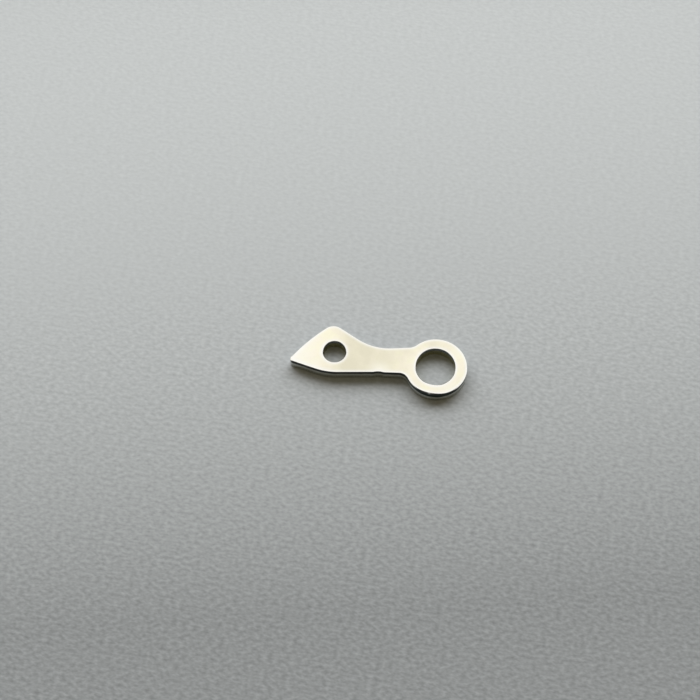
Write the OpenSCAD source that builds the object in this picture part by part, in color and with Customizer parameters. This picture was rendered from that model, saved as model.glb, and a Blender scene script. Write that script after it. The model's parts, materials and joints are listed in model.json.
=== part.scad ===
// Date jumper: the flat steel lever that drops its beak between two teeth of a date ring.
// Millimetres. The origin is on the pivot bore's axis at the underside, +Z is up through the
// thickness, and the X axis runs through both holes, with the beak towards -X.

/* [Plate] */
// Thickness of the steel
thickness = 0.40; // [0.25:0.05:0.60]
// Width of the bevel that takes the sharpness off every edge
edge_break = 0.02; // [0.01:0.005:0.03]

/* [Eye] */
// Diameter of the bore that turns on its post
bore_d = 1.25; // [0.90:0.05:1.40]
// Outer diameter of the eye round the bore
eye_d = 1.94; // [1.80:0.02:2.20]
// How far the rim of the eye is set past the bore, away from the beak
eye_shift = 0.02; // [0:0.01:0.05]

/* [Small hole] */
// Distance from the bore to the small hole
hole_pitch = 3.20; // [3.00:0.05:3.60]
// Diameter of the small hole
hole_d = 0.73; // [0.50:0.01:0.85]

/* [Head] */
// How far the beak's pointed corner lies past the small hole
tip_past = 1.39; // [1.20:0.005:1.50]
// How far the beak's pointed corner lies below the line of the holes
tip_drop = 0.52; // [0.40:0.005:0.60]
// Radius that rounds the beak's point
tip_r = 0.10; // [0.07:0.01:0.16]
// How far the corner of the crest lies past the small hole
crest_past = 0.20; // [0.10:0.01:0.30]
// Height of the corner of the crest above the line of the holes
crest_h = 0.975; // [0.90:0.005:1.10]
// Radius that rounds the crest
crest_r = 0.38; // [0.25:0.01:0.50]
// How far the corner of the heel lies past the small hole
heel_past = 0.135; // [0.05:0.005:0.25]
// Depth of the corner of the heel below the line of the holes
heel_h = 0.75; // [0.65:0.01:0.85]
// Radius that rounds the heel
heel_r = 2.00; // [1.00:0.10:2.40]
// How far the corner of the flank, which meets a date tooth, stands out from the line between tip and crest
flank_bulge = 0.105; // [0.06:0.005:0.13]
// Radius that rounds the flank
flank_r = 6.00; // [3.00:0.10:6.00]

/* [Neck] */
// Distance from the bore to the corner of the waist
waist_reach = 2.01; // [1.90:0.01:2.15]
// Height of the corner of the waist above the line of the holes
waist_h = 0.297; // [0.25:0.001:0.40]
// Radius of the hollow waist
waist_r = 1.70; // [1.20:0.05:1.80]
// Height of the neck's upper edge where it reaches the eye
neck_high = 0.525; // [0.45:0.005:0.60]
// Depth of the neck's lower edge where it reaches the eye
neck_low = 0.385; // [0.30:0.005:0.45]
// Distance from the bore to the bend in the neck's lower edge
bend_reach = 1.98; // [1.80:0.01:2.10]
// Depth of the bend in the neck's lower edge
bend_h = 0.519; // [0.48:0.001:0.55]
// Radius of the bend in the neck's lower edge
bend_r = 3.00; // [1.00:0.10:4.00]
// Radius of the fillet between the neck's upper edge and the eye
root_high_r = 0.39; // [0.25:0.01:0.45]
// Radius of the fillet between the neck's lower edge and the eye
root_low_r = 0.34; // [0.25:0.01:0.45]

/* [Tab scar] */
// Distance from the bore to the scallop left in the neck's lower edge where the blank's holding tab came away
scar_reach = 1.73; // [1.60:0.01:1.80]
// Radius of that scallop
scar_r = 0.55; // [0.30:0.05:0.70]
// Depth of that scallop
scar_depth = 0.025; // [0.010:0.005:0.040]

/* [Hidden] */
$fn = 180;
steel = [0.84, 0.82, 0.76];
// How far a cutter reaches past the face it cuts
over = 0.05;
// Most that the outline turns at one point of an arc, in degrees
arc_step = 3;
// Number of sides of the double cone that bevels the edges
bevel_sides = 24;

eye_r = eye_d / 2;
eye_centre = [eye_shift, 0];
bore_centre = [0, 0];
hole_centre = [-hole_pitch, 0];

// Where the straight edges would meet, before they are rounded
tip = hole_centre + [-tip_past, -tip_drop];
crest = hole_centre + [-crest_past, crest_h];
heel = hole_centre + [-heel_past, -heel_h];
waist = [-waist_reach, waist_h];
bend = [-bend_reach, -bend_h];
flank = (tip + crest) / 2 + flank_bulge * left_of(unit(crest - tip));
// Where the neck's edges reach the near side of the eye
root_high = eye_centre + [-eye_r, neck_high];
root_low = eye_centre + [-eye_r, -neck_low];

// Centres of the two fillets at the neck's root, and where each one touches the neck's edge
high_centre = root_centre(waist, root_high, root_high_r, 1);
high_edge = nearest_on_line(waist, root_high, high_centre);
low_centre = root_centre(bend, root_low, root_low_r, -1);
low_edge = nearest_on_line(bend, root_low, low_centre);

// The corners run anticlockwise, with the metal on the left: from the eye along the neck's
// upper edge, round the beak and back along the neck's lower edge to the eye
corners = [high_edge, waist, crest, flank, tip, heel, bend, low_edge];
radii = [0, waist_r, crest_r, flank_r, tip_r, heel_r, bend_r, 0];
rounded = [1 : 6];

function unit(v) = v / norm(v);
function left_of(v) = [-v.y, v.x];
function angle_of(v) = atan2(v.y, v.x);
function along(i) = unit(corners[i + 1] - corners[i]);
// Angle by which the outline turns at a corner, with a minus where the corner is hollow
function turn(i) = atan2(cross(along(i - 1), along(i)), along(i - 1) * along(i));
function side(i) = sign(turn(i));
// Length of straight edge that a corner's rounding takes up on each side. The flank's long
// curve takes what the tip and the crest leave it
function asked(i) = radii[i] * tan(abs(turn(i)) / 2);
function left_over(i) = norm(corners[i + 1] - corners[i]) - asked(i) - asked(i + 1);
function given(i) = asked(i) + min(0, left_over(i - 1), left_over(i));
function taken(i) = corners[i] == flank ? given(i) : asked(i);
function radius(i) = taken(i) / tan(abs(turn(i)) / 2);
function centre_of(i) =
    corners[i] - along(i - 1) * taken(i) + left_of(along(i - 1)) * side(i) * radius(i);

// Centre of a fillet that touches the round of the eye and the line from a to b. The metal is
// on the line's right where out is 1, and on its left where out is -1
function root_centre(a, b, r, out) =
    let (d = unit(b - a), q = a + out * r * left_of(d) - eye_centre, k = q * d)
    eye_centre + q - d * (k + sqrt(k * k - q * q + pow(eye_r + r, 2)));
function nearest_on_line(a, b, p) = a + unit(b - a) * ((p - a) * unit(b - a));

// Points round an arc, from a first angle through a sweep
function arc(centre, r, first, sweep) =
    let (steps = ceil(abs(sweep) / arc_step))
    [for (k = [0 : steps]) let (t = first + sweep * k / steps) centre + r * [cos(t), sin(t)]];

// Points round the shorter arc between two directions from its centre
function arc_between(centre, r, from, to) =
    arc(centre, r, angle_of(from), atan2(cross(from, to), from * to));

function corner_arc(i, inset) =
    arc(centre_of(i), radius(i) - side(i) * inset, angle_of(along(i - 1)) - 90 * side(i), turn(i));

// The eye's arc runs the long way round, from one fillet to the other
function eye_arc(inset) =
    let (from = low_centre - eye_centre, to = high_centre - eye_centre)
    arc(eye_centre, eye_r - inset, angle_of(from), (360 + angle_of(to) - angle_of(from)) % 360);

// The whole outline, drawn at an even distance inside the lever's edge
function outline(inset) = concat(
    arc_between(high_centre, root_high_r + inset, eye_centre - high_centre, high_edge - high_centre),
    [for (i = rounded) each corner_arc(i, inset)],
    arc_between(low_centre, root_low_r + inset, low_edge - low_centre, eye_centre - low_centre),
    eye_arc(inset)
);

// The plate, bevelled along its whole outline on both faces
module blank() {
    translate([0, 0, edge_break])
        minkowski() {
            linear_extrude(thickness - 2 * edge_break) polygon(outline(edge_break));
            double_cone();
        }
}

module double_cone() {
    cylinder(r1 = edge_break, r2 = 0, h = edge_break, $fn = bevel_sides);
    mirror([0, 0, 1]) cylinder(r1 = edge_break, r2 = 0, h = edge_break, $fn = bevel_sides);
}

// A true round hole with its rim bevelled on both faces
module bevelled_hole(centre, r) {
    translate(centre) {
        translate([0, 0, -over]) cylinder(r = r, h = thickness + 2 * over);
        rim_bevel(r);
        translate([0, 0, thickness]) mirror([0, 0, 1]) rim_bevel(r);
    }
}

module rim_bevel(r) {
    translate([0, 0, -over]) cylinder(r1 = r + edge_break + over, r2 = r, h = edge_break + over);
}

// The scallop in the neck's lower edge
module tab_scar() {
    edge = root_low - bend;
    place = bend + edge * (-scar_reach - bend.x) / edge.x;
    outward = -left_of(unit(edge));
    translate(place + outward * (scar_r - scar_depth))
        translate([0, 0, -over]) cylinder(r = scar_r, h = thickness + 2 * over);
}

module jumper_lever() {
    color(steel)
    difference() {
        blank();
        bevelled_hole(bore_centre, bore_d / 2);
        bevelled_hole(hole_centre, hole_d / 2);
        tab_scar();
    }
}

jumper_lever();
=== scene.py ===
import json
import math

import bmesh
import bpy
import numpy as np
from mathutils import Matrix, Vector
from mathutils.geometry import delaunay_2d_cdt


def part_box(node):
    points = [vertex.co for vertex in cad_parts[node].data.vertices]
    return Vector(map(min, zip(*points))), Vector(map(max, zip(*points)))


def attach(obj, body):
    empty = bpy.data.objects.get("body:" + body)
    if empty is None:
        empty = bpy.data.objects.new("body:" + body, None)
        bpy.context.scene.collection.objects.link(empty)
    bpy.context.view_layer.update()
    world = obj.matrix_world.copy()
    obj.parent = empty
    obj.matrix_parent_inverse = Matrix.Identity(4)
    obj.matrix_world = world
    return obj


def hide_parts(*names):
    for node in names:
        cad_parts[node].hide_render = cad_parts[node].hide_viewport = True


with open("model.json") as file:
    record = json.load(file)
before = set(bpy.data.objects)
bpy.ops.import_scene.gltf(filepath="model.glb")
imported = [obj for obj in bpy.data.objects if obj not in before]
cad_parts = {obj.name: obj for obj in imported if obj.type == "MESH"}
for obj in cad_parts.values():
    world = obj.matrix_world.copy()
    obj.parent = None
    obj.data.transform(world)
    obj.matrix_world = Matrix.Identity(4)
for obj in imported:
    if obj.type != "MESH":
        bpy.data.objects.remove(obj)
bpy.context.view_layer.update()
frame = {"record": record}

# The lever's sizes, in millimetres, as the solid has them
MM = 0.001
mounts = {mount["name"]: mount for mount in frame["record"]["mounts"]}
CAD_NODE = "jumper_lever"
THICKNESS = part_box(CAD_NODE)[1].z / MM
BORE_R = mounts["pivot_bore"]["dims"]["r_mm"]
HOLE_R = mounts["small_hole"]["dims"]["r_mm"]
HOLE_PITCH = -mounts["small_hole"]["pos_m"][0] / MM
EYE_R = 0.97
EYE_SHIFT = 0.02
TIP_PAST, TIP_DROP, TIP_R = 1.39, 0.52, 0.10
CREST_PAST, CREST_H, CREST_R = 0.20, 0.975, 0.38
HEEL_PAST, HEEL_H, HEEL_R = 0.135, 0.75, 2.00
FLANK_BULGE, FLANK_R = 0.105, 6.00
WAIST_REACH, WAIST_H, WAIST_R = 2.01, 0.297, 1.70
NECK_HIGH, NECK_LOW = 0.525, 0.385
BEND_REACH, BEND_H, BEND_R = 1.98, 0.519, 3.00
ROOT_HIGH_R, ROOT_LOW_R = 0.39, 0.34
SCAR_REACH, SCAR_R, SCAR_DEPTH, SCAR_SOFTNESS = 1.73, 0.55, 0.025, 0.004

# How the edge of each face is broken: a facet with a small round at the face and a smaller one at the side
FACET_WIDTH = 0.011
FACET_DROP = 0.011
FACET_ROUND = 0.003
CORNER_ROUND = 0.0015
# Lapping leaves the faces a little lower towards their edges
CROWN_DROP = 0.0015
CROWN_LENGTH = 0.06

# Most that two points of an outline stand apart
OUTLINE_STEP = 0.02
# Most that an arc turns from one point to the next, and its fewest steps
ARC_TURN = math.radians(4)
ARC_STEPS = 2
# A hole's points come in four like quarters
QUARTERS = 4
# The points inside a face: rows at these distances from its edges, and an even grid over the rest
EDGE_ROWS = (0.02, 0.045, 0.08)
FACE_GRID = 0.05
# The share of its distance that a row's point still keeps where another edge is near
ROW_KEEPS = 0.96
# Lengths below this are taken as none, and points nearer than this as one
NO_LENGTH = 1e-9
SAME_POINT = 1e-7
# The kind of triangulation that fills everything between the points
FILL_ALL = 0

# Wear on the lower rim of the eye: a slightly wider facet all along it, and a rubbed and rounded place
# in its middle with a small fleck at one side. Each has its angle round the eye and its reach along the rim
RUB_ANGLE, RUB_REACH, RUB_WIDTH, RUB_DROP = math.radians(-80), 0.95, 0.010, 0.006
WORN_ANGLE, WORN_REACH, WORN_WIDTH, WORN_DROP = math.radians(-92), 0.38, 0.038, 0.013
WORN_TOP, WORN_FOOT = math.radians(-8), math.radians(2)
FLECK_ANGLE, FLECK_REACH, FLECK_FOOT = math.radians(-95), 0.05, math.radians(-6.5)
# The beak's point is rubbed in the same way
POINT_REACH, POINT_WIDTH, POINT_DROP = 0.40, 0.010, 0.003

EYE_CENTRE = np.array([EYE_SHIFT, 0.0])
BORE_CENTRE = np.array([0.0, 0.0])
HOLE_CENTRE = np.array([-HOLE_PITCH, 0.0])

# Where the straight edges would meet, before they are rounded, and where the neck's edges reach the eye
TIP = HOLE_CENTRE + [-TIP_PAST, -TIP_DROP]
CREST = HOLE_CENTRE + [-CREST_PAST, CREST_H]
HEEL = HOLE_CENTRE + [-HEEL_PAST, -HEEL_H]
WAIST = np.array([-WAIST_REACH, WAIST_H])
BEND = np.array([-BEND_REACH, -BEND_H])
ROOT_HIGH = EYE_CENTRE + [-EYE_R, NECK_HIGH]
ROOT_LOW = EYE_CENTRE + [-EYE_R, -NECK_LOW]


def unit(v):
    return v / np.linalg.norm(v)


def left_of(v):
    return np.array([-v[1], v[0]])


def angle_of(v):
    return math.atan2(v[1], v[0])


def turn_between(a, b):
    """Angle from one direction to another, with a minus where it turns right."""
    return math.atan2(a[0] * b[1] - a[1] * b[0], a @ b)


def root_centre(a, b, radius, out):
    """Centre of a fillet that touches the round of the eye and the line from a to b."""
    d = unit(b - a)
    q = a + out * radius * left_of(d) - EYE_CENTRE
    k = q @ d
    return EYE_CENTRE + q - d * (k + math.sqrt(k * k - q @ q + (EYE_R + radius) ** 2))


def nearest_on_line(a, b, p):
    return a + unit(b - a) * ((p - a) @ unit(b - a))


def circle_points(centre, radius, angles):
    return centre + radius * np.stack([np.cos(angles), np.sin(angles)], 1)


def arc(centre, radius, first, sweep):
    """Points round an arc, from a first angle through a sweep."""
    by_length = math.ceil(abs(sweep) * radius / OUTLINE_STEP)
    by_turn = math.ceil(abs(sweep) / ARC_TURN)
    steps = max(ARC_STEPS, by_length, by_turn)
    return circle_points(centre, radius, first + sweep * np.arange(steps + 1) / steps)


def arc_between(centre, radius, start, end):
    """Points round the shorter arc between two directions from its centre."""
    return arc(centre, radius, angle_of(start), turn_between(start, end))


def corner_arcs(corners, radii, squeezed):
    """Arcs that round the corners of a line. The squeezed one takes what edge its neighbours leave."""
    along = [unit(b - a) for a, b in zip(corners, corners[1:])]
    turns = [0] + [turn_between(a, b) for a, b in zip(along, along[1:])]
    asked = [radius * math.tan(abs(turn) / 2) for radius, turn in zip(radii, turns)]
    arcs = []
    for i in range(1, len(along)):
        taken = asked[i]
        if i == squeezed:
            before = np.linalg.norm(corners[i] - corners[i - 1]) - asked[i - 1] - asked[i]
            after = np.linalg.norm(corners[i + 1] - corners[i]) - asked[i] - asked[i + 1]
            taken += min(0, before, after)
        side = math.copysign(1, turns[i])
        radius = taken / math.tan(abs(turns[i]) / 2)
        centre = corners[i] - along[i - 1] * taken + left_of(along[i - 1]) * side * radius
        arcs.append(arc(centre, radius, angle_of(along[i - 1]) - side * math.pi / 2, turns[i]))
    return arcs


def lever_outline():
    """The outline's points, anticlockwise, from the same corners and radii as the solid's."""
    flank = (TIP + CREST) / 2 + FLANK_BULGE * left_of(unit(CREST - TIP))
    high_centre = root_centre(WAIST, ROOT_HIGH, ROOT_HIGH_R, 1)
    low_centre = root_centre(BEND, ROOT_LOW, ROOT_LOW_R, -1)
    high_edge = nearest_on_line(WAIST, ROOT_HIGH, high_centre)
    low_edge = nearest_on_line(BEND, ROOT_LOW, low_centre)
    corners = [high_edge, WAIST, CREST, flank, TIP, HEEL, BEND, low_edge]
    radii = [0, WAIST_R, CREST_R, FLANK_R, TIP_R, HEEL_R, BEND_R, 0]
    flank_corner = 3
    first = angle_of(low_centre - EYE_CENTRE)
    last = angle_of(high_centre - EYE_CENTRE)
    pieces = [
        arc_between(high_centre, ROOT_HIGH_R, EYE_CENTRE - high_centre, high_edge - high_centre),
        *corner_arcs(corners, radii, flank_corner),
        arc_between(low_centre, ROOT_LOW_R, low_edge - low_centre, EYE_CENTRE - low_centre),
        arc(EYE_CENTRE, EYE_R, first, (last - first) % (2 * math.pi)),
    ]
    return scalloped(evenly(np.concatenate(pieces)), scar_centre())


def evenly(points):
    """The closed line through the points, set out again in even steps."""
    closed = np.vstack([points, points[:1]])
    lengths = np.concatenate([[0], np.cumsum(np.linalg.norm(np.diff(closed, axis=0), axis=1))])
    keep = np.concatenate([[True], np.diff(lengths) > NO_LENGTH])
    closed, lengths = closed[keep], lengths[keep]
    steps = math.ceil(lengths[-1] / OUTLINE_STEP)
    places = np.arange(steps) * lengths[-1] / steps
    return np.stack([np.interp(places, lengths, closed[:, axis]) for axis in (0, 1)], 1)


def scar_centre():
    """Centre of the scallop, which is cut into the neck's lower edge."""
    edge = ROOT_LOW - BEND
    place = BEND + edge * (-SCAR_REACH - BEND[0]) / edge[0]
    return place - left_of(unit(edge)) * (SCAR_R - SCAR_DEPTH)


def scalloped(points, centre):
    """The outline with the tab's scallop pressed in, its two corners a little worn."""
    away = points - centre
    reach = np.linalg.norm(away, axis=1)
    deeper = SCAR_SOFTNESS * np.logaddexp(0, (SCAR_R - reach) / SCAR_SOFTNESS)
    return points + away / reach[:, None] * deeper[:, None]


def outward_of(points):
    """Unit vectors that point out of the metal, which is on the left of the line."""
    along = np.roll(points, -1, 0) - np.roll(points, 1, 0)
    along /= np.linalg.norm(along, axis=1)[:, None]
    return np.stack([along[:, 1], -along[:, 0]], 1)


def hole_outline(centre, radius):
    """A round hole's points, clockwise, so that the metal is on the left here too."""
    steps = math.ceil(2 * math.pi * radius / OUTLINE_STEP / QUARTERS) * QUARTERS
    return circle_points(centre, radius, -2 * math.pi * np.arange(steps) / steps)


def near_place(points, place, reach):
    """How near each point is to a place, from 0 to 1."""
    return np.exp(-(np.linalg.norm(points - place, axis=1) / reach) ** 2)


def near_rim(outline, angle, reach):
    """How near each point of an outline is to a place on the rim of the eye, from 0 to 1."""
    return near_place(outline, EYE_CENTRE + EYE_R * np.array([math.cos(angle), math.sin(angle)]), reach)


def broken(width, drop, top, foot):
    """Inset, drop and lean of the normal, down the broken edge of a face, at each point of its outline."""
    lean = np.arctan2(drop, width)
    level = np.ones_like(width)
    return [
        (width + FACET_ROUND, level * CROWN_DROP, level * CROWN_DROP / CROWN_LENGTH),
        (width - FACET_ROUND * np.cos(lean), CROWN_DROP + FACET_ROUND * np.sin(lean), lean + top),
        (CORNER_ROUND * np.cos(lean), drop - CORNER_ROUND * np.sin(lean), lean + foot),
        (level * 0, drop + CORNER_ROUND, level * math.pi / 2),
    ]


def edge_profile(outline):
    """Inset, height and lean of the normal, down the side of an outline from the upper face to the lower."""
    level = np.ones(len(outline))
    rubbed = near_rim(outline, RUB_ANGLE, RUB_REACH)
    worn = near_rim(outline, WORN_ANGLE, WORN_REACH)
    fleck = near_rim(outline, FLECK_ANGLE, FLECK_REACH)
    point = near_place(outline, TIP, POINT_REACH)
    width = FACET_WIDTH + RUB_WIDTH * rubbed + WORN_WIDTH * worn + POINT_WIDTH * point
    drop = FACET_DROP + RUB_DROP * rubbed + WORN_DROP * worn + POINT_DROP * point
    upper = broken(width, drop, WORN_TOP * worn, WORN_FOOT * worn + FLECK_FOOT * fleck)
    lower = broken(FACET_WIDTH * level, FACET_DROP * level, 0, 0)
    rows = [(inset, THICKNESS - drop, lean) for inset, drop, lean in upper]
    rows.append((level * 0, level * THICKNESS / 2, level * math.pi / 2))
    rows += [(inset, drop, math.pi - lean) for inset, drop, lean in reversed(lower)]
    return rows


# The four materials of the lever, in the order that its mesh has them
FACE, FACET, WALL, BORE = range(4)
# Most that a surface leans from upright and still counts as a side
STEEP = 0.5
# How near an edge the faces are rubbed and painted paler, part rubbing and part painted highlight, kept on
# the mesh for their material
EDGE_RUB_AND_SHEEN = "edge_rub_and_sheen"
RUB_AND_SHEEN_REACH = 0.056
# Along the beak's lower flank the rubbing and painted highlight reach further in: the place, its reach and
# how much further
FLANK_RUB_AND_SHEEN_PLACE, FLANK_RUB_AND_SHEEN_REACH, FLANK_RUB_AND_SHEEN_WIDER = (-3.95, -0.55), 0.65, 0.75


def inside(points, loop):
    """Which points are inside a closed line."""
    x, y = points[:, 0][:, None], points[:, 1][:, None]
    a, b = loop, np.roll(loop, -1, 0)
    crosses = (a[:, 1] > y) != (b[:, 1] > y)
    with np.errstate(divide="ignore", invalid="ignore"):
        at = a[:, 0] + (y - a[:, 1]) / (b[:, 1] - a[:, 1]) * (b[:, 0] - a[:, 0])
    return ((crosses & (x < at)).sum(1) % 2).astype(bool)


def on_metal(points, loops):
    """Which points are inside the first loop and in none of the holes, which are the other loops."""
    kept = inside(points, loops[0])
    for hole in loops[1:]:
        kept &= ~inside(points, hole)
    return kept


def nearest(points, rim):
    """Distance from each point to the rim, and the unit vector towards it."""
    away = rim[None, :, :] - points[:, None, :]
    distance = np.linalg.norm(away, axis=2)
    index = distance.argmin(1)
    shortest = distance[np.arange(len(points)), index]
    return shortest, away[np.arange(len(points)), index] / np.maximum(shortest, NO_LENGTH)[:, None]


def face_rows(loops, rim):
    """Rows of points that follow the edges of a face, at every other point of its outlines."""
    found = []
    for row in EDGE_ROWS:
        for loop in loops:
            inward = (loop - row * outward_of(loop))[::2]
            distance, _ = nearest(inward, rim)
            found.append(inward[distance > ROW_KEEPS * row])
    return found


def face_grid(loops, rim):
    """An even grid of points over a face, past the rows along its edges."""
    low, high = loops[0].min(0), loops[0].max(0)
    xs = np.arange(low[0], high[0], FACE_GRID)
    ys = np.arange(low[1], high[1], FACE_GRID * math.sqrt(3) / 2)
    shift = (np.arange(len(ys)) % 2) * FACE_GRID / 2
    grid = np.stack([(xs[None, :] + shift[:, None]).ravel(), np.repeat(ys, len(xs))], 1)
    grid = grid[on_metal(grid, loops)]
    distance, _ = nearest(grid, rim)
    return grid[distance > EDGE_ROWS[-1] + FACE_GRID / 2]


def face_triangles(loops, inner):
    """Triangles over the face, as numbers of its points: the loops' first, then the inner ones."""
    points = np.concatenate(loops + [inner])
    edges, start = [], 0
    for loop in loops:
        edges += [(start + i, start + (i + 1) % len(loop)) for i in range(len(loop))]
        start += len(loop)
    vectors = [Vector(point) for point in points.tolist()]
    _, _, faces, origins, _, _ = delaunay_2d_cdt(vectors, edges, [], FILL_ALL, SAME_POINT)
    triangles = np.array([[origins[corner][0] for corner in face] for face in faces])
    return triangles[on_metal(points[triangles].mean(1), loops)]


def inner_points(loops):
    """The points inside a face, with how far each is sunk, its lean to the edge and its share of rubbing and
    painted highlight.
    """
    rim = np.concatenate(loops)
    points = np.concatenate([*face_rows(loops, rim), face_grid(loops, rim)])
    distance, towards = nearest(points, rim)
    sunk = CROWN_DROP * np.exp(-distance / CROWN_LENGTH)
    lean = towards * sunk[:, None] / CROWN_LENGTH
    reach = RUB_AND_SHEEN_REACH * (1 + FLANK_RUB_AND_SHEEN_WIDER * near_place(points, FLANK_RUB_AND_SHEEN_PLACE, FLANK_RUB_AND_SHEEN_REACH))
    return points, sunk, lean, np.exp(-(distance / reach) ** 2)


class Skin:
    """The lever's points, with their normals and their share of rubbing and painted highlight, and its faces
    with their materials.
    """

    def __init__(self):
        self.points, self.normals, self.rub_and_sheen = [], [], []
        self.faces, self.kinds = [], []

    def add_points(self, places, heights, normals, rub_and_sheen):
        """Adds points to the skin and gives back their numbers."""
        numbers = range(len(self.points), len(self.points) + len(places))
        self.points += np.column_stack([places, heights]).tolist()
        self.normals += normals.tolist()
        self.rub_and_sheen += rub_and_sheen.tolist()
        return list(numbers)

    def add_face(self, corners, kind):
        self.faces.append(corners)
        self.kinds.append(kind)


def add_side(skin, outline, wall):
    """The side along one outline, with its broken edges. Gives back its upper and its lower rim."""
    out = outward_of(outline)
    profile = edge_profile(outline)
    places = [outline - inset[:, None] * out for inset, _, _ in profile]
    rows = []
    for place, (_, height, lean) in zip(places, profile):
        normals = np.column_stack([out * np.sin(lean)[:, None], np.cos(lean)])
        rows.append(skin.add_points(place, height, normals, np.ones(len(outline))))
    for level, (upper, lower) in enumerate(zip(rows, rows[1:])):
        lean = (profile[level][2].max() + profile[level + 1][2].max()) / 2
        kind = wall if abs(lean - math.pi / 2) < STEEP else FACET
        for i in range(len(outline)):
            j = (i + 1) % len(outline)
            skin.add_face((upper[i], lower[i], lower[j], upper[j]), kind)
    return (rows[0], places[0]), (rows[-1], places[-1])


def add_flat(skin, rims, inner, up):
    """One flat face within its rims, which faces up where up is 1 and down where up is -1."""
    # rubbed is each point's share of rubbing and painted highlight
    points, sunk, lean, rubbed = inner
    triangles = face_triangles([place for _, place in rims], points)
    heights = THICKNESS - sunk if up > 0 else sunk
    normals = np.column_stack([lean, np.full(len(points), up)])
    normals /= np.linalg.norm(normals, axis=1)[:, None]
    numbers = [number for row, _ in rims for number in row]
    numbers += skin.add_points(points, heights, normals, rubbed)
    for triangle in triangles.tolist():
        corners = [numbers[corner] for corner in triangle]
        skin.add_face(corners if up > 0 else corners[::-1], FACE)


def lever_mesh(name):
    """The whole lever as one closed mesh, with the normals that its true form has."""
    skin = Skin()
    sides = [
        add_side(skin, lever_outline(), WALL),
        add_side(skin, hole_outline(BORE_CENTRE, BORE_R), BORE),
        add_side(skin, hole_outline(HOLE_CENTRE, HOLE_R), BORE),
    ]
    upper_rims, lower_rims = zip(*sides)
    inner = inner_points([place for _, place in upper_rims])
    add_flat(skin, upper_rims, inner, 1)
    add_flat(skin, lower_rims, inner, -1)

    mesh = bpy.data.meshes.new(name)
    build = bmesh.new()
    made = [build.verts.new(Vector(point) * MM) for point in skin.points]
    for corners, kind in zip(skin.faces, skin.kinds):
        face = build.faces.new([made[corner] for corner in corners])
        face.material_index = kind
        face.smooth = True
    build.to_mesh(mesh)
    build.free()
    mesh.normals_split_custom_set_from_vertices(skin.normals)
    mesh.attributes.new(EDGE_RUB_AND_SHEEN, "FLOAT", "POINT").data.foreach_set("value", skin.rub_and_sheen)
    return mesh


# Materials, all of them made of nodes
def add(tree, kind, **settings):
    """A node with its settings."""
    node = tree.nodes.new(kind)
    for name, value in settings.items():
        setattr(node, name, value)
    return node


def link(tree, source, target):
    tree.links.new(source, target)


def millimetres(tree):
    """The piece's own coordinates, in millimetres."""
    place = add(tree, "ShaderNodeTexCoord")
    scale = add(tree, "ShaderNodeVectorMath", operation="SCALE")
    scale.inputs["Scale"].default_value = 1 / MM
    link(tree, place.outputs["Object"], scale.inputs[0])
    return scale.outputs[0]


def coordinate(tree, place, axis):
    """One of the coordinates of a place."""
    node = add(tree, "ShaderNodeSeparateXYZ")
    link(tree, place, node.inputs[0])
    return node.outputs[axis]


def along_direction(tree, place, direction):
    """How far a place lies along a direction."""
    node = add(tree, "ShaderNodeVectorMath", operation="DOT_PRODUCT")
    node.inputs[1].default_value = direction
    link(tree, place, node.inputs[0])
    return node.outputs["Value"]


def stretched(tree, place, scale, turn=0.0):
    """The coordinates turned about Z and then scaled along each axis."""
    node = add(tree, "ShaderNodeMapping")
    node.inputs["Rotation"].default_value = (0, 0, turn)
    turned = add(tree, "ShaderNodeVectorMath", operation="MULTIPLY")
    turned.inputs[1].default_value = scale
    link(tree, place, node.inputs["Vector"])
    link(tree, node.outputs[0], turned.inputs[0])
    return turned.outputs[0]


def noise(tree, place, scale=1.0, detail=3.0, roughness=0.5):
    node = add(tree, "ShaderNodeTexNoise")
    node.inputs["Scale"].default_value = scale
    node.inputs["Detail"].default_value = detail
    node.inputs["Roughness"].default_value = roughness
    link(tree, place, node.inputs["Vector"])
    return node.outputs["Fac"]


def between(tree, value, low, high, to_low=0.0, to_high=1.0):
    """The value, spread from one range over another and held inside it."""
    node = add(tree, "ShaderNodeMapRange", interpolation_type="SMOOTHSTEP")
    for socket, number in zip(("From Min", "From Max", "To Min", "To Max"), (low, high, to_low, to_high)):
        node.inputs[socket].default_value = number
    link(tree, value, node.inputs["Value"])
    return node.outputs["Result"]


def blotches(tree, place, low, high, **kind):
    """Soft blotches of a kind of noise, of which the part from low to high is spread over 0 to 1."""
    return between(tree, noise(tree, place, **kind), low, high)


def math_node(tree, operation, a, b):
    node = add(tree, "ShaderNodeMath", operation=operation)
    for socket, value in zip(node.inputs, (a, b)):
        if isinstance(value, (int, float)):
            socket.default_value = value
        else:
            link(tree, value, socket)
    return node.outputs[0]


def times(tree, a, b):
    return math_node(tree, "MULTIPLY", a, b)


def plus(tree, *values):
    total = values[0]
    for value in values[1:]:
        total = math_node(tree, "ADD", total, value)
    return total


def mixed(tree, share, a, b, data_type="RGBA", socket_type="RGBA"):
    """One colour, or one number, turning into another."""
    node = add(tree, "ShaderNodeMix", data_type=data_type)
    if isinstance(share, float):
        node.inputs["Factor"].default_value = share
    else:
        link(tree, share, node.inputs["Factor"])
    for name, value in (("A", a), ("B", b)):
        target = next(socket for socket in node.inputs if socket.name == name and socket.type == socket_type)
        if isinstance(value, tuple):
            target.default_value = (*value, 1)
        else:
            link(tree, value, target)
    return next(socket for socket in node.outputs if socket.type == socket_type)


def bump(tree, height, depth_mm, before=None):
    node = add(tree, "ShaderNodeBump")
    node.inputs["Strength"].default_value = 1
    node.inputs["Distance"].default_value = depth_mm * MM
    link(tree, height, node.inputs["Height"])
    if before is not None:
        link(tree, before, node.inputs["Normal"])
    return node.outputs["Normal"]


def new_material(name, metallic):
    material = bpy.data.materials.new(name)
    material.use_nodes = True
    tree = material.node_tree
    shader = tree.nodes["Principled BSDF"]
    shader.inputs["Metallic"].default_value = metallic
    return material, tree, shader


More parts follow.
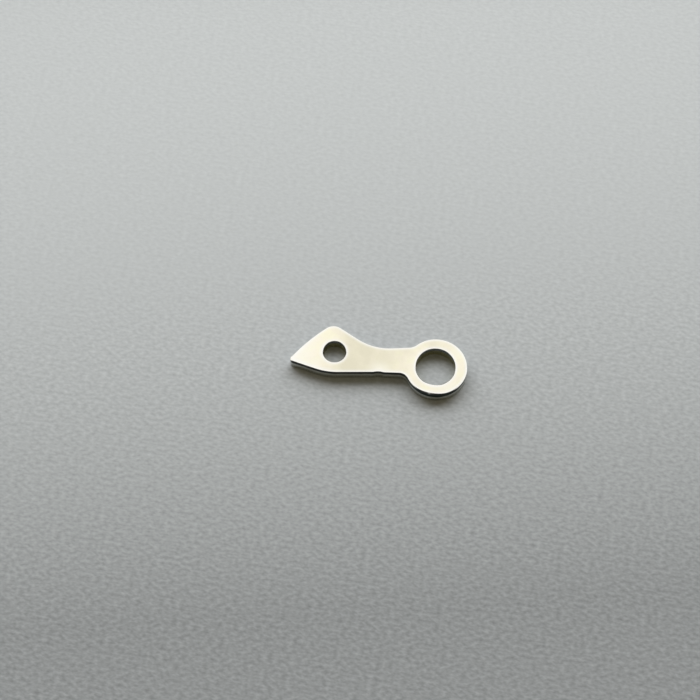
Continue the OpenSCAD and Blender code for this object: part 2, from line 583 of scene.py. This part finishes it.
def finish_material(tree, shader, colour, roughness, normal):
    link(tree, colour, shader.inputs["Base Color"])
    link(tree, roughness, shader.inputs["Roughness"])
    link(tree, normal, shader.inputs["Normal"])


# How much a surface that isn't bare metal mirrors
FAINT_MIRROR = 0.1
# The part of the noise that an uneven roughness is spread over
ROUGHNESS_FROM = (0.3, 0.7)


def uneven(tree, place, scale, smoothest, roughest):
    """A roughness that wanders from place to place."""
    return between(tree, noise(tree, place, scale), *ROUGHNESS_FROM, smoothest, roughest)


def at_places(tree, place, places):
    """The share of a set of soft places at each point."""
    total = None
    for x, y, reach, share in places.values():
        away = add(tree, "ShaderNodeVectorMath", operation="DISTANCE")
        link(tree, place, away.inputs[0])
        away.inputs[1].default_value = (x, y, THICKNESS)
        near = between(tree, away.outputs["Value"], reach, 0.0, 0.0, share)
        total = near if total is None else math_node(tree, "MAXIMUM", total, near)
    return total


STEEL_WHITE = (0.900, 0.888, 0.800)
STEEL_RUBBED = (0.888, 0.890, 0.880)
STEEL_PALE = (0.880, 0.845, 0.695)
STEEL_STRAW = (0.890, 0.862, 0.655)
STEEL_ROSE = (0.890, 0.830, 0.705)
STEEL_BEIGE = (0.711, 0.676, 0.535)
STEEL_BRIGHT = (0.77, 0.80, 0.78)
STEEL_GREY = (0.58, 0.59, 0.55)
STEEL_DARK = (0.40, 0.40, 0.37)
# The next three colours are painted shade on the smooth band of the sides
STEEL_DUSK = (0.07, 0.075, 0.08)
STEEL_BLACK = (0.02, 0.023, 0.025)
STEEL_TEAL = (0.008, 0.020, 0.018)
# The next three colours are painted reflection on the walls of the holes
STEEL_BLUE = (0.34, 0.37, 0.40)
STEEL_OLIVE = (0.56, 0.55, 0.35)
STEEL_BROWN = (0.46, 0.44, 0.28)

# Soft places on the upper face, painted brighter or duller as a painted reflection of its surroundings: X,
# Y, reach and share
PAINTED_SHEEN_PLACES = {
    "neck_under": (-1.68, -0.49, 0.54, 0.70),
    "head_under": (-3.75, -0.45, 0.32, 0.45),
    "eye_front": (0.45, -0.65, 0.60, 0.45),
    "eye_behind": (0.62, 0.66, 0.35, 0.45),
}
PAINTED_DULL_PLACES = {
    "head_front": (-2.70, -0.30, 0.55, 0.26),
    "heel": (-3.23, -0.57, 0.35, 0.22),
    "eye_root": (-1.00, 0.45, 0.55, 0.24),
    "eye_top": (-0.25, 0.74, 0.40, 0.36),
}
# The neck is painted duller than the head and the eye, a painted reflection: where along X that starts and
# is full, and where it ends
NECK_FROM, NECK_FULL, NECK_SHARE = -3.35, -2.65, 0.72
NECK_FADES, NECK_ENDS, NECK_LEFT = -2.2, -0.5, 0.10
# The beak is painted brighter towards its tip, a painted reflection
BEAK_FROM, BEAK_FULL, BEAK_SHARE = -3.5, -4.4, 0.8
# Blotches of the lapped faces, and how much each kind counts
PATCHES = {"scale": 1.7, "detail": 2.0, "low": 0.40, "high": 0.66}
PATCHES_SHARE = 0.24
MOTTLE = {"scale": 14.0, "detail": 4.0, "roughness": 0.6, "low": 0.35, "high": 0.70}
MOTTLE_SHARE = 0.10
TINTS = {"scale": 2.6, "detail": 2.0, "low": 0.42, "high": 0.58}
TINTS_SHARE = 0.5
# How much the faces are painted paler near their edges: rubbing and a painted highlight
EDGE_RUB_AND_SHEEN_SHARE = 0.8
# Fine lines from lapping, in three sets: turn, scale along and across the lines, and weight
LAPPING_LINES = (
    (0.35, 1.1, 70.0, 1.0),
    (-0.9, 1.4, 55.0, 0.7),
    (1.4, 0.9, 85.0, 0.6),
)
LAPPING_ROUGHNESS = 0.6
LAPPING_DEPTH = 0.00022
# Long waves of the lapped faces
WAVES = {"scale": 3.0, "detail": 2.0}
WAVES_DEPTH = 0.003


def painted_neck_dullness(tree, place):
    """The share by which the neck is painted duller than the rest of the face, a painted reflection."""
    x = coordinate(tree, place, "X")
    past_head = between(tree, x, NECK_FROM, NECK_FULL)
    before_eye = between(tree, x, NECK_FADES, NECK_ENDS, 1.0, NECK_LEFT)
    return times(tree, times(tree, past_head, before_eye), NECK_SHARE)


def lapping_lines(tree, place):
    lines = []
    for turn, along, across, weight in LAPPING_LINES:
        line = stretched(tree, place, (along, across, 1.0), turn)
        lines.append(times(tree, noise(tree, line, roughness=LAPPING_ROUGHNESS), weight))
    return plus(tree, *lines)


def lapped_face():
    """The two flat faces: an even satin from lapping, with fine crossing lines and soft patches, some of
    them painted reflection, and paler near the edges from rubbing and a painted highlight.
    """
    material, tree, shader = new_material("lapped_steel_face", metallic=1.0)
    place = millimetres(tree)
    # dull adds random blotches to painted reflection: the neck and some soft places painted duller
    dull = plus(
        tree,
        painted_neck_dullness(tree, place),
        times(tree, blotches(tree, place, **PATCHES), PATCHES_SHARE),
        times(tree, blotches(tree, place, **MOTTLE), MOTTLE_SHARE),
        at_places(tree, place, PAINTED_DULL_PLACES),
    )
    tint = mixed(tree, blotches(tree, place, **TINTS), STEEL_STRAW, STEEL_ROSE)
    colour = mixed(tree, dull, mixed(tree, TINTS_SHARE, STEEL_PALE, tint), STEEL_BEIGE)
    # Painted reflection: the beak and some soft places are painted brighter
    beak = between(tree, coordinate(tree, place, "X"), BEAK_FROM, BEAK_FULL, 0.0, BEAK_SHARE)
    bright = math_node(tree, "MAXIMUM", beak, at_places(tree, place, PAINTED_SHEEN_PLACES))
    colour = mixed(tree, bright, colour, STEEL_WHITE)
    rub_and_sheen = add(tree, "ShaderNodeAttribute", attribute_name=EDGE_RUB_AND_SHEEN)
    # Near its edges the face is painted paler and more neutral: rubbing and a painted highlight
    colour = mixed(tree, times(tree, rub_and_sheen.outputs["Fac"], EDGE_RUB_AND_SHEEN_SHARE), colour, STEEL_RUBBED)
    normal = bump(tree, lapping_lines(tree, place), LAPPING_DEPTH)
    normal = bump(tree, noise(tree, place, **WAVES), WAVES_DEPTH, normal)
    roughness = uneven(tree, place, scale=9.0, smoothest=0.295, roughest=0.335)
    finish_material(tree, shader, colour, roughness, normal)
    return material


# How the broken edges are rubbed in blotches, and their fine grain
RUBBING = {"scale": 11.0, "detail": 4.0, "low": 0.35, "high": 0.65}
RUBBING_GRAIN = 42.0
RUBBING_DEPTH = 0.0003


def broken_edge():
    """The facets round the faces and holes, rubbed brighter than the faces."""
    material, tree, shader = new_material("rubbed_steel_edge", metallic=1.0)
    place = millimetres(tree)
    colour = mixed(tree, blotches(tree, place, **RUBBING), STEEL_RUBBED, STEEL_WHITE)
    roughness = uneven(tree, place, scale=30.0, smoothest=0.08, roughest=0.15)
    normal = bump(tree, noise(tree, place, RUBBING_GRAIN), RUBBING_DEPTH)
    finish_material(tree, shader, colour, roughness, normal)
    return material


# Heights at which the side turns from torn to smooth and painted dark, and at which the painted shade at the
# foot of its torn part fades out
SMOOTH_FROM, SMOOTH_FULL = THICKNESS * 0.63, THICKNESS * 0.80
FOOT_SHADE_FADES, FOOT_SHADE_GONE = THICKNESS * 0.30, THICKNESS * 0.75
# How the border between the two wanders along the side, and over what height in all
WANDER_SCALE = (5.0, 5.0, 0.0)
WANDER_DETAIL = 4.0
WANDER_HEIGHT = 0.05
# Under the eye the smooth band of the side, painted near black as painted shade, reaches deeper and is
# painted greener
DEEPER_SHADE_PLACES = {
    "shade_under_eye": (EYE_SHIFT, -EYE_R, 1.5, 1.0),
}
SHADE_DEEPER = 0.055
# Marks drawn down the side: long thin streaks in the smooth band, and shorter tears below
STREAKS = {"detail": 4.0, "roughness": 0.6}
STREAK_SCALE = (60.0, 60.0, 2.5)
TEARS = {"detail": 5.0, "roughness": 0.65}
TEAR_SCALE = (45.0, 45.0, 7.0)
MARKS_LOW, MARKS_HIGH, MARKS_DEPTH = 0.30, 0.72, 0.0022
# How rough and how metallic the torn and the smooth band look; the smooth band is barely metallic, so that
# its painted near black shows as painted shade
TORN_ROUGHNESS, SMOOTH_ROUGHNESS = 0.42, 0.30
TORN_METALLIC, SMOOTH_METALLIC = 1.0, 0.05


def blanked_wall():
    """The sides as blanked: a smooth band above, painted near black as painted shade, and a torn and paler
    one below, painted darker at its foot as painted shade, with upright marks.
    """
    material, tree, shader = new_material("blanked_steel_side", TORN_METALLIC)
    place = millimetres(tree)
    shade_under_eye = at_places(tree, place, DEEPER_SHADE_PLACES)
    wander = noise(tree, stretched(tree, place, WANDER_SCALE), detail=WANDER_DETAIL)
    level = plus(
        tree,
        coordinate(tree, place, "Z"),
        times(tree, wander, WANDER_HEIGHT),
        times(tree, shade_under_eye, SHADE_DEEPER),
    )
    smooth = between(tree, level, SMOOTH_FROM, SMOOTH_FULL)
    streaks = noise(tree, stretched(tree, place, STREAK_SCALE), **STREAKS)
    tears = noise(tree, stretched(tree, place, TEAR_SCALE), **TEARS)
    marks = mixed(tree, smooth, tears, streaks, "FLOAT", "VALUE")
    spots = between(tree, marks, MARKS_LOW, MARKS_HIGH)
    # Painted shade: the smooth band is painted near black, and greener under the eye
    upper = mixed(tree, shade_under_eye, mixed(tree, spots, STEEL_BLACK, STEEL_DUSK), STEEL_TEAL)
    lower = mixed(tree, spots, STEEL_DARK, STEEL_GREY)
    # Painted shade: the torn part is painted darker towards its foot
    lower = mixed(tree, between(tree, level, FOOT_SHADE_FADES, FOOT_SHADE_GONE), lower, STEEL_BRIGHT)
    metallic = between(tree, smooth, 0.0, 1.0, TORN_METALLIC, SMOOTH_METALLIC)
    roughness = between(tree, smooth, 0.0, 1.0, TORN_ROUGHNESS, SMOOTH_ROUGHNESS)
    link(tree, metallic, shader.inputs["Metallic"])
    shader.inputs["Specular IOR Level"].default_value = FAINT_MIRROR
    colour = mixed(tree, smooth, lower, upper)
    finish_material(tree, shader, colour, roughness, bump(tree, marks, MARKS_DEPTH))
    return material


# Fine lines round the holes from the reamer
REAMER_SCALE = (1.5, 1.5, 60.0)
REAMER_DETAIL = 1.5
REAMER_LOW, REAMER_HIGH, REAMER_DEPTH = 0.30, 0.70, 0.0006
# Height at which the walls of the holes are painted bluer towards their mouth, over the olive brown painted
# below: both painted reflection
MOUTH_FROM, MOUTH_FULL = THICKNESS * 0.54, THICKNESS * 0.76
# A paler place is painted on the pivot bore's wall, on its side towards the neck, a painted reflection
PAINTED_PALE_PLACES = {
    "bore_side": (-BORE_R, -0.1, 0.7, 0.8),
}


def reamed_bore():
    """The walls of the two holes, painted olive brown below, bluer at their mouth and paler on the pivot
    bore's side towards the neck, all painted reflection.
    """
    material, tree, shader = new_material("reamed_steel_bore", metallic=1.0)
    place = millimetres(tree)
    lines = noise(tree, stretched(tree, place, REAMER_SCALE), detail=REAMER_DETAIL)
    # Painted reflection: olive brown below, and bluer towards the mouth
    colour = mixed(tree, between(tree, lines, REAMER_LOW, REAMER_HIGH), STEEL_BROWN, STEEL_OLIVE)
    mouth = between(tree, coordinate(tree, place, "Z"), MOUTH_FROM, MOUTH_FULL)
    colour = mixed(tree, mouth, colour, STEEL_BLUE)
    # Painted reflection: paler on the pivot bore's side towards the neck
    colour = mixed(tree, at_places(tree, place, PAINTED_PALE_PLACES), colour, STEEL_BEIGE)
    roughness = uneven(tree, place, scale=16.0, smoothest=0.26, roughest=0.38)
    finish_material(tree, shader, colour, roughness, bump(tree, lines, REAMER_DEPTH))
    return material


# Camera, where the photograph was taken from
AZIMUTH, ELEVATION = math.radians(9.4725), math.radians(63.4757)
TARGET = Vector((-2.7316, 0.1349, 0.40)) * MM
DISTANCE = 62.238 * MM
HALF_VIEW = math.radians(10)
SENSOR = 36.0
# The nearest and farthest that it sees
SEES_FROM, SEES_TO = MM, 10.0
BACK = Vector((
    math.sin(AZIMUTH) * math.cos(ELEVATION),
    -math.cos(AZIMUTH) * math.cos(ELEVATION),
    math.sin(ELEVATION),
))
RIGHT = Vector((math.cos(AZIMUTH), math.sin(AZIMUTH), 0))
BEHIND = Vector((-math.sin(AZIMUTH), math.cos(AZIMUTH), 0))
UP = Vector((0, 0, 1))


def add_camera():
    data = bpy.data.cameras.new("camera")
    data.sensor_width = SENSOR
    data.lens = SENSOR / 2 / math.tan(HALF_VIEW)
    data.clip_start, data.clip_end = SEES_FROM, SEES_TO
    camera = bpy.data.objects.new("camera", data)
    turn = Matrix((RIGHT, BACK.cross(RIGHT), BACK)).transposed().to_4x4()
    camera.matrix_world = Matrix.Translation(TARGET + BACK * DISTANCE) @ turn
    bpy.context.scene.collection.objects.link(camera)
    bpy.context.scene.camera = camera


# The plain grey mat
MAT_COLOUR = (0.441, 0.456, 0.449)
MAT_SIZE = 3.0
MAT_CELLS = 8
MAT_GAP = 0.000002
MAT_ROUGHNESS = 0.85
# It is painted lighter away from the camera and a little to the left, a painted falloff of the light, less
# and less, and within limits
LIGHTER_TO_LEFT = 0.062
LIGHTER_SLOPE, LIGHTER_CURVE = 0.0385, -0.0011
LIGHTER_LEAST, LIGHTER_MOST = -0.36, 0.32
# Millimetres from the pivot at which that is still whole, and at which it has faded away
LIGHTER_WHOLE, LIGHTER_GONE = 11.0, 60.0
# The mat's grain is stronger in front: how far back it is faint and strong, and its strength there
GRAIN_STRETCH = (0.75, 1.25, 1.0)
GRAIN = {"scale": 8.0, "detail": 1.5}
GRAIN_MEAN = 0.5
GRAIN_FAR, GRAIN_NEAR = 4.5, 0.5
GRAIN_FAINT, GRAIN_STRONG = 0.32, 0.52
GRAIN_DEPTH = 0.004


def painted_mat_falloff(tree, place, depth):
    """How much lighter or darker the mat is painted than its colour, from front to back: a painted falloff
    of the light.
    """
    reach = add(tree, "ShaderNodeVectorMath", operation="LENGTH")
    link(tree, place, reach.inputs[0])
    slope = times(tree, depth, plus(tree, times(tree, depth, LIGHTER_CURVE), LIGHTER_SLOPE))
    slope = math_node(tree, "MINIMUM", slope, LIGHTER_MOST)
    slope = math_node(tree, "MAXIMUM", slope, LIGHTER_LEAST)
    return times(tree, slope, between(tree, reach.outputs["Value"], LIGHTER_GONE, LIGHTER_WHOLE))


def mat_material():
    material, tree, shader = new_material("grey_mat", metallic=0.0)
    place = millimetres(tree)
    depth = along_direction(tree, place, BEHIND - LIGHTER_TO_LEFT * RIGHT)
    grain = noise(tree, stretched(tree, place, GRAIN_STRETCH), **GRAIN)
    strength = between(tree, depth, GRAIN_FAR, GRAIN_NEAR, GRAIN_FAINT, GRAIN_STRONG)
    specks = times(tree, math_node(tree, "SUBTRACT", grain, GRAIN_MEAN), strength)
    # The mat's colour carries the painted falloff of the light and its grain
    colour = add(tree, "ShaderNodeVectorMath", operation="SCALE")
    colour.inputs[0].default_value = MAT_COLOUR
    link(tree, plus(tree, painted_mat_falloff(tree, place, depth), specks, 1.0), colour.inputs["Scale"])
    link(tree, colour.outputs[0], shader.inputs["Base Color"])
    link(tree, bump(tree, grain, GRAIN_DEPTH), shader.inputs["Normal"])
    shader.inputs["Roughness"].default_value = MAT_ROUGHNESS
    shader.inputs["Specular IOR Level"].default_value = FAINT_MIRROR
    return material


def add_mat():
    mesh = bpy.data.meshes.new("mat")
    build = bmesh.new()
    bmesh.ops.create_grid(build, x_segments=MAT_CELLS, y_segments=MAT_CELLS, size=MAT_SIZE)
    for vertex in build.verts:
        vertex.co.z = -MAT_GAP
    build.to_mesh(mesh)
    build.free()
    mesh.materials.append(mat_material())
    mat = bpy.data.objects.new("mat", mesh)
    bpy.context.scene.collection.objects.link(mat)


# Light: a wide soft window behind the lever, made of three round parts, and a dim warm room all round.
# Each part has its place, as an elevation and a turn from straight behind, and its share of the mat's light
WINDOW = {
    "window_middle": (math.radians(52), 0.0, 0.300),
    "window_left": (math.radians(34), math.radians(-35), 0.255),
    "window_right": (math.radians(34), math.radians(35), 0.255),
}
WINDOW_SPREAD = math.radians(44)
WINDOW_COLOUR = (0.969, 1.0, 1.082)
ROOM_DIFFUSE = (0.200, 0.175, 0.112)

# What the steel mirrors is brighter behind the lever than in front of it
GLEAM_COLOUR = (1.0, 0.99, 0.97)
GLEAM_IN_FRONT, GLEAM_BEHIND = 0.42, 1.14
# How far back a direction points where the gleam starts to grow, and where it is whole
GLEAM_FROM, GLEAM_FULL = -0.75, 0.25

# The dark of the camera and of whoever holds it, above and in front, which the steel mirrors. It is wider
# than high, so the directions are squeezed sideways before they are compared with its middle
DARK_ELEVATION = math.radians(47)
DARK_CORE = math.radians(23)
DARK_FADE = math.radians(36)
DARK_LEVEL = 0.05
DARK_SQUEEZE = 0.5


def add_window():
    for name, (elevation, turn, share) in WINDOW.items():
        data = bpy.data.lights.new(name, "SUN")
        data.angle = WINDOW_SPREAD
        data.energy = share * math.pi / math.sin(elevation)
        data.color = WINDOW_COLOUR
        lamp = bpy.data.objects.new(name, data)
        level = BEHIND * math.cos(turn) + RIGHT * math.sin(turn)
        towards = level * math.cos(elevation) + UP * math.sin(elevation)
        lamp.rotation_mode = "QUATERNION"
        lamp.rotation_quaternion = towards.to_track_quat("Z", "Y")
        lamp.visible_glossy = False
        bpy.context.scene.collection.objects.link(lamp)


def dark_in_front(tree, place):
    """What is left of the gleam at each direction, round the dark place in front."""
    squeezed = add(tree, "ShaderNodeCombineXYZ")
    link(tree, times(tree, along_direction(tree, place, RIGHT), DARK_SQUEEZE), squeezed.inputs["X"])
    link(tree, along_direction(tree, place, -BEHIND), squeezed.inputs["Y"])
    link(tree, along_direction(tree, place, UP), squeezed.inputs["Z"])
    direction = add(tree, "ShaderNodeVectorMath", operation="NORMALIZE")
    link(tree, squeezed.outputs[0], direction.inputs[0])
    middle = (0, math.cos(DARK_ELEVATION), math.sin(DARK_ELEVATION))
    nearness = along_direction(tree, direction.outputs[0], middle)
    return between(tree, nearness, math.cos(DARK_FADE), math.cos(DARK_CORE), 1.0, DARK_LEVEL)


def shade(tree, colour, strength):
    node = add(tree, "ShaderNodeBackground")
    node.inputs["Color"].default_value = (*colour, 1)
    if isinstance(strength, float):
        node.inputs["Strength"].default_value = strength
    else:
        link(tree, strength, node.inputs["Strength"])
    return node.outputs[0]


def choose(tree, share, a, b):
    """One shade where the share is 0 and the other where it is 1."""
    node = add(tree, "ShaderNodeMixShader")
    for socket, source in zip(node.inputs, (share, a, b)):
        link(tree, source, socket)
    return node.outputs[0]


def add_room():
    """What is round the lever: dim for the mat, and for the steel bright behind and darker in front."""
    world = bpy.data.worlds.new("room")
    bpy.context.scene.world = world
    world.use_nodes = True
    tree = world.node_tree
    tree.nodes.clear()
    output = add(tree, "ShaderNodeOutputWorld")
    place = add(tree, "ShaderNodeTexCoord").outputs["Generated"]
    path = add(tree, "ShaderNodeLightPath")
    behind = along_direction(tree, place, BEHIND)
    gleam = between(tree, behind, GLEAM_FROM, GLEAM_FULL, GLEAM_IN_FRONT, GLEAM_BEHIND)
    gleam = times(tree, gleam, dark_in_front(tree, place))
    in_steel = math_node(tree, "MAXIMUM", path.outputs["Is Glossy Ray"], path.outputs["Is Transmission Ray"])
    room = choose(tree, in_steel, shade(tree, ROOM_DIFFUSE, 1.0), shade(tree, GLEAM_COLOUR, gleam))
    room = choose(tree, path.outputs["Is Camera Ray"], room, shade(tree, MAT_COLOUR, 1.0))
    link(tree, room, output.inputs["Surface"])


lever = bpy.data.objects.new("lever_steel", lever_mesh("lever_steel"))
for material in (lapped_face(), broken_edge(), blanked_wall(), reamed_bore()):
    lever.data.materials.append(material)
bpy.context.scene.collection.objects.link(lever)
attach(lever, "root")
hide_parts(CAD_NODE)

add_mat()
add_window()
add_room()
add_camera()
bpy.context.scene.view_settings.view_transform = "Standard"
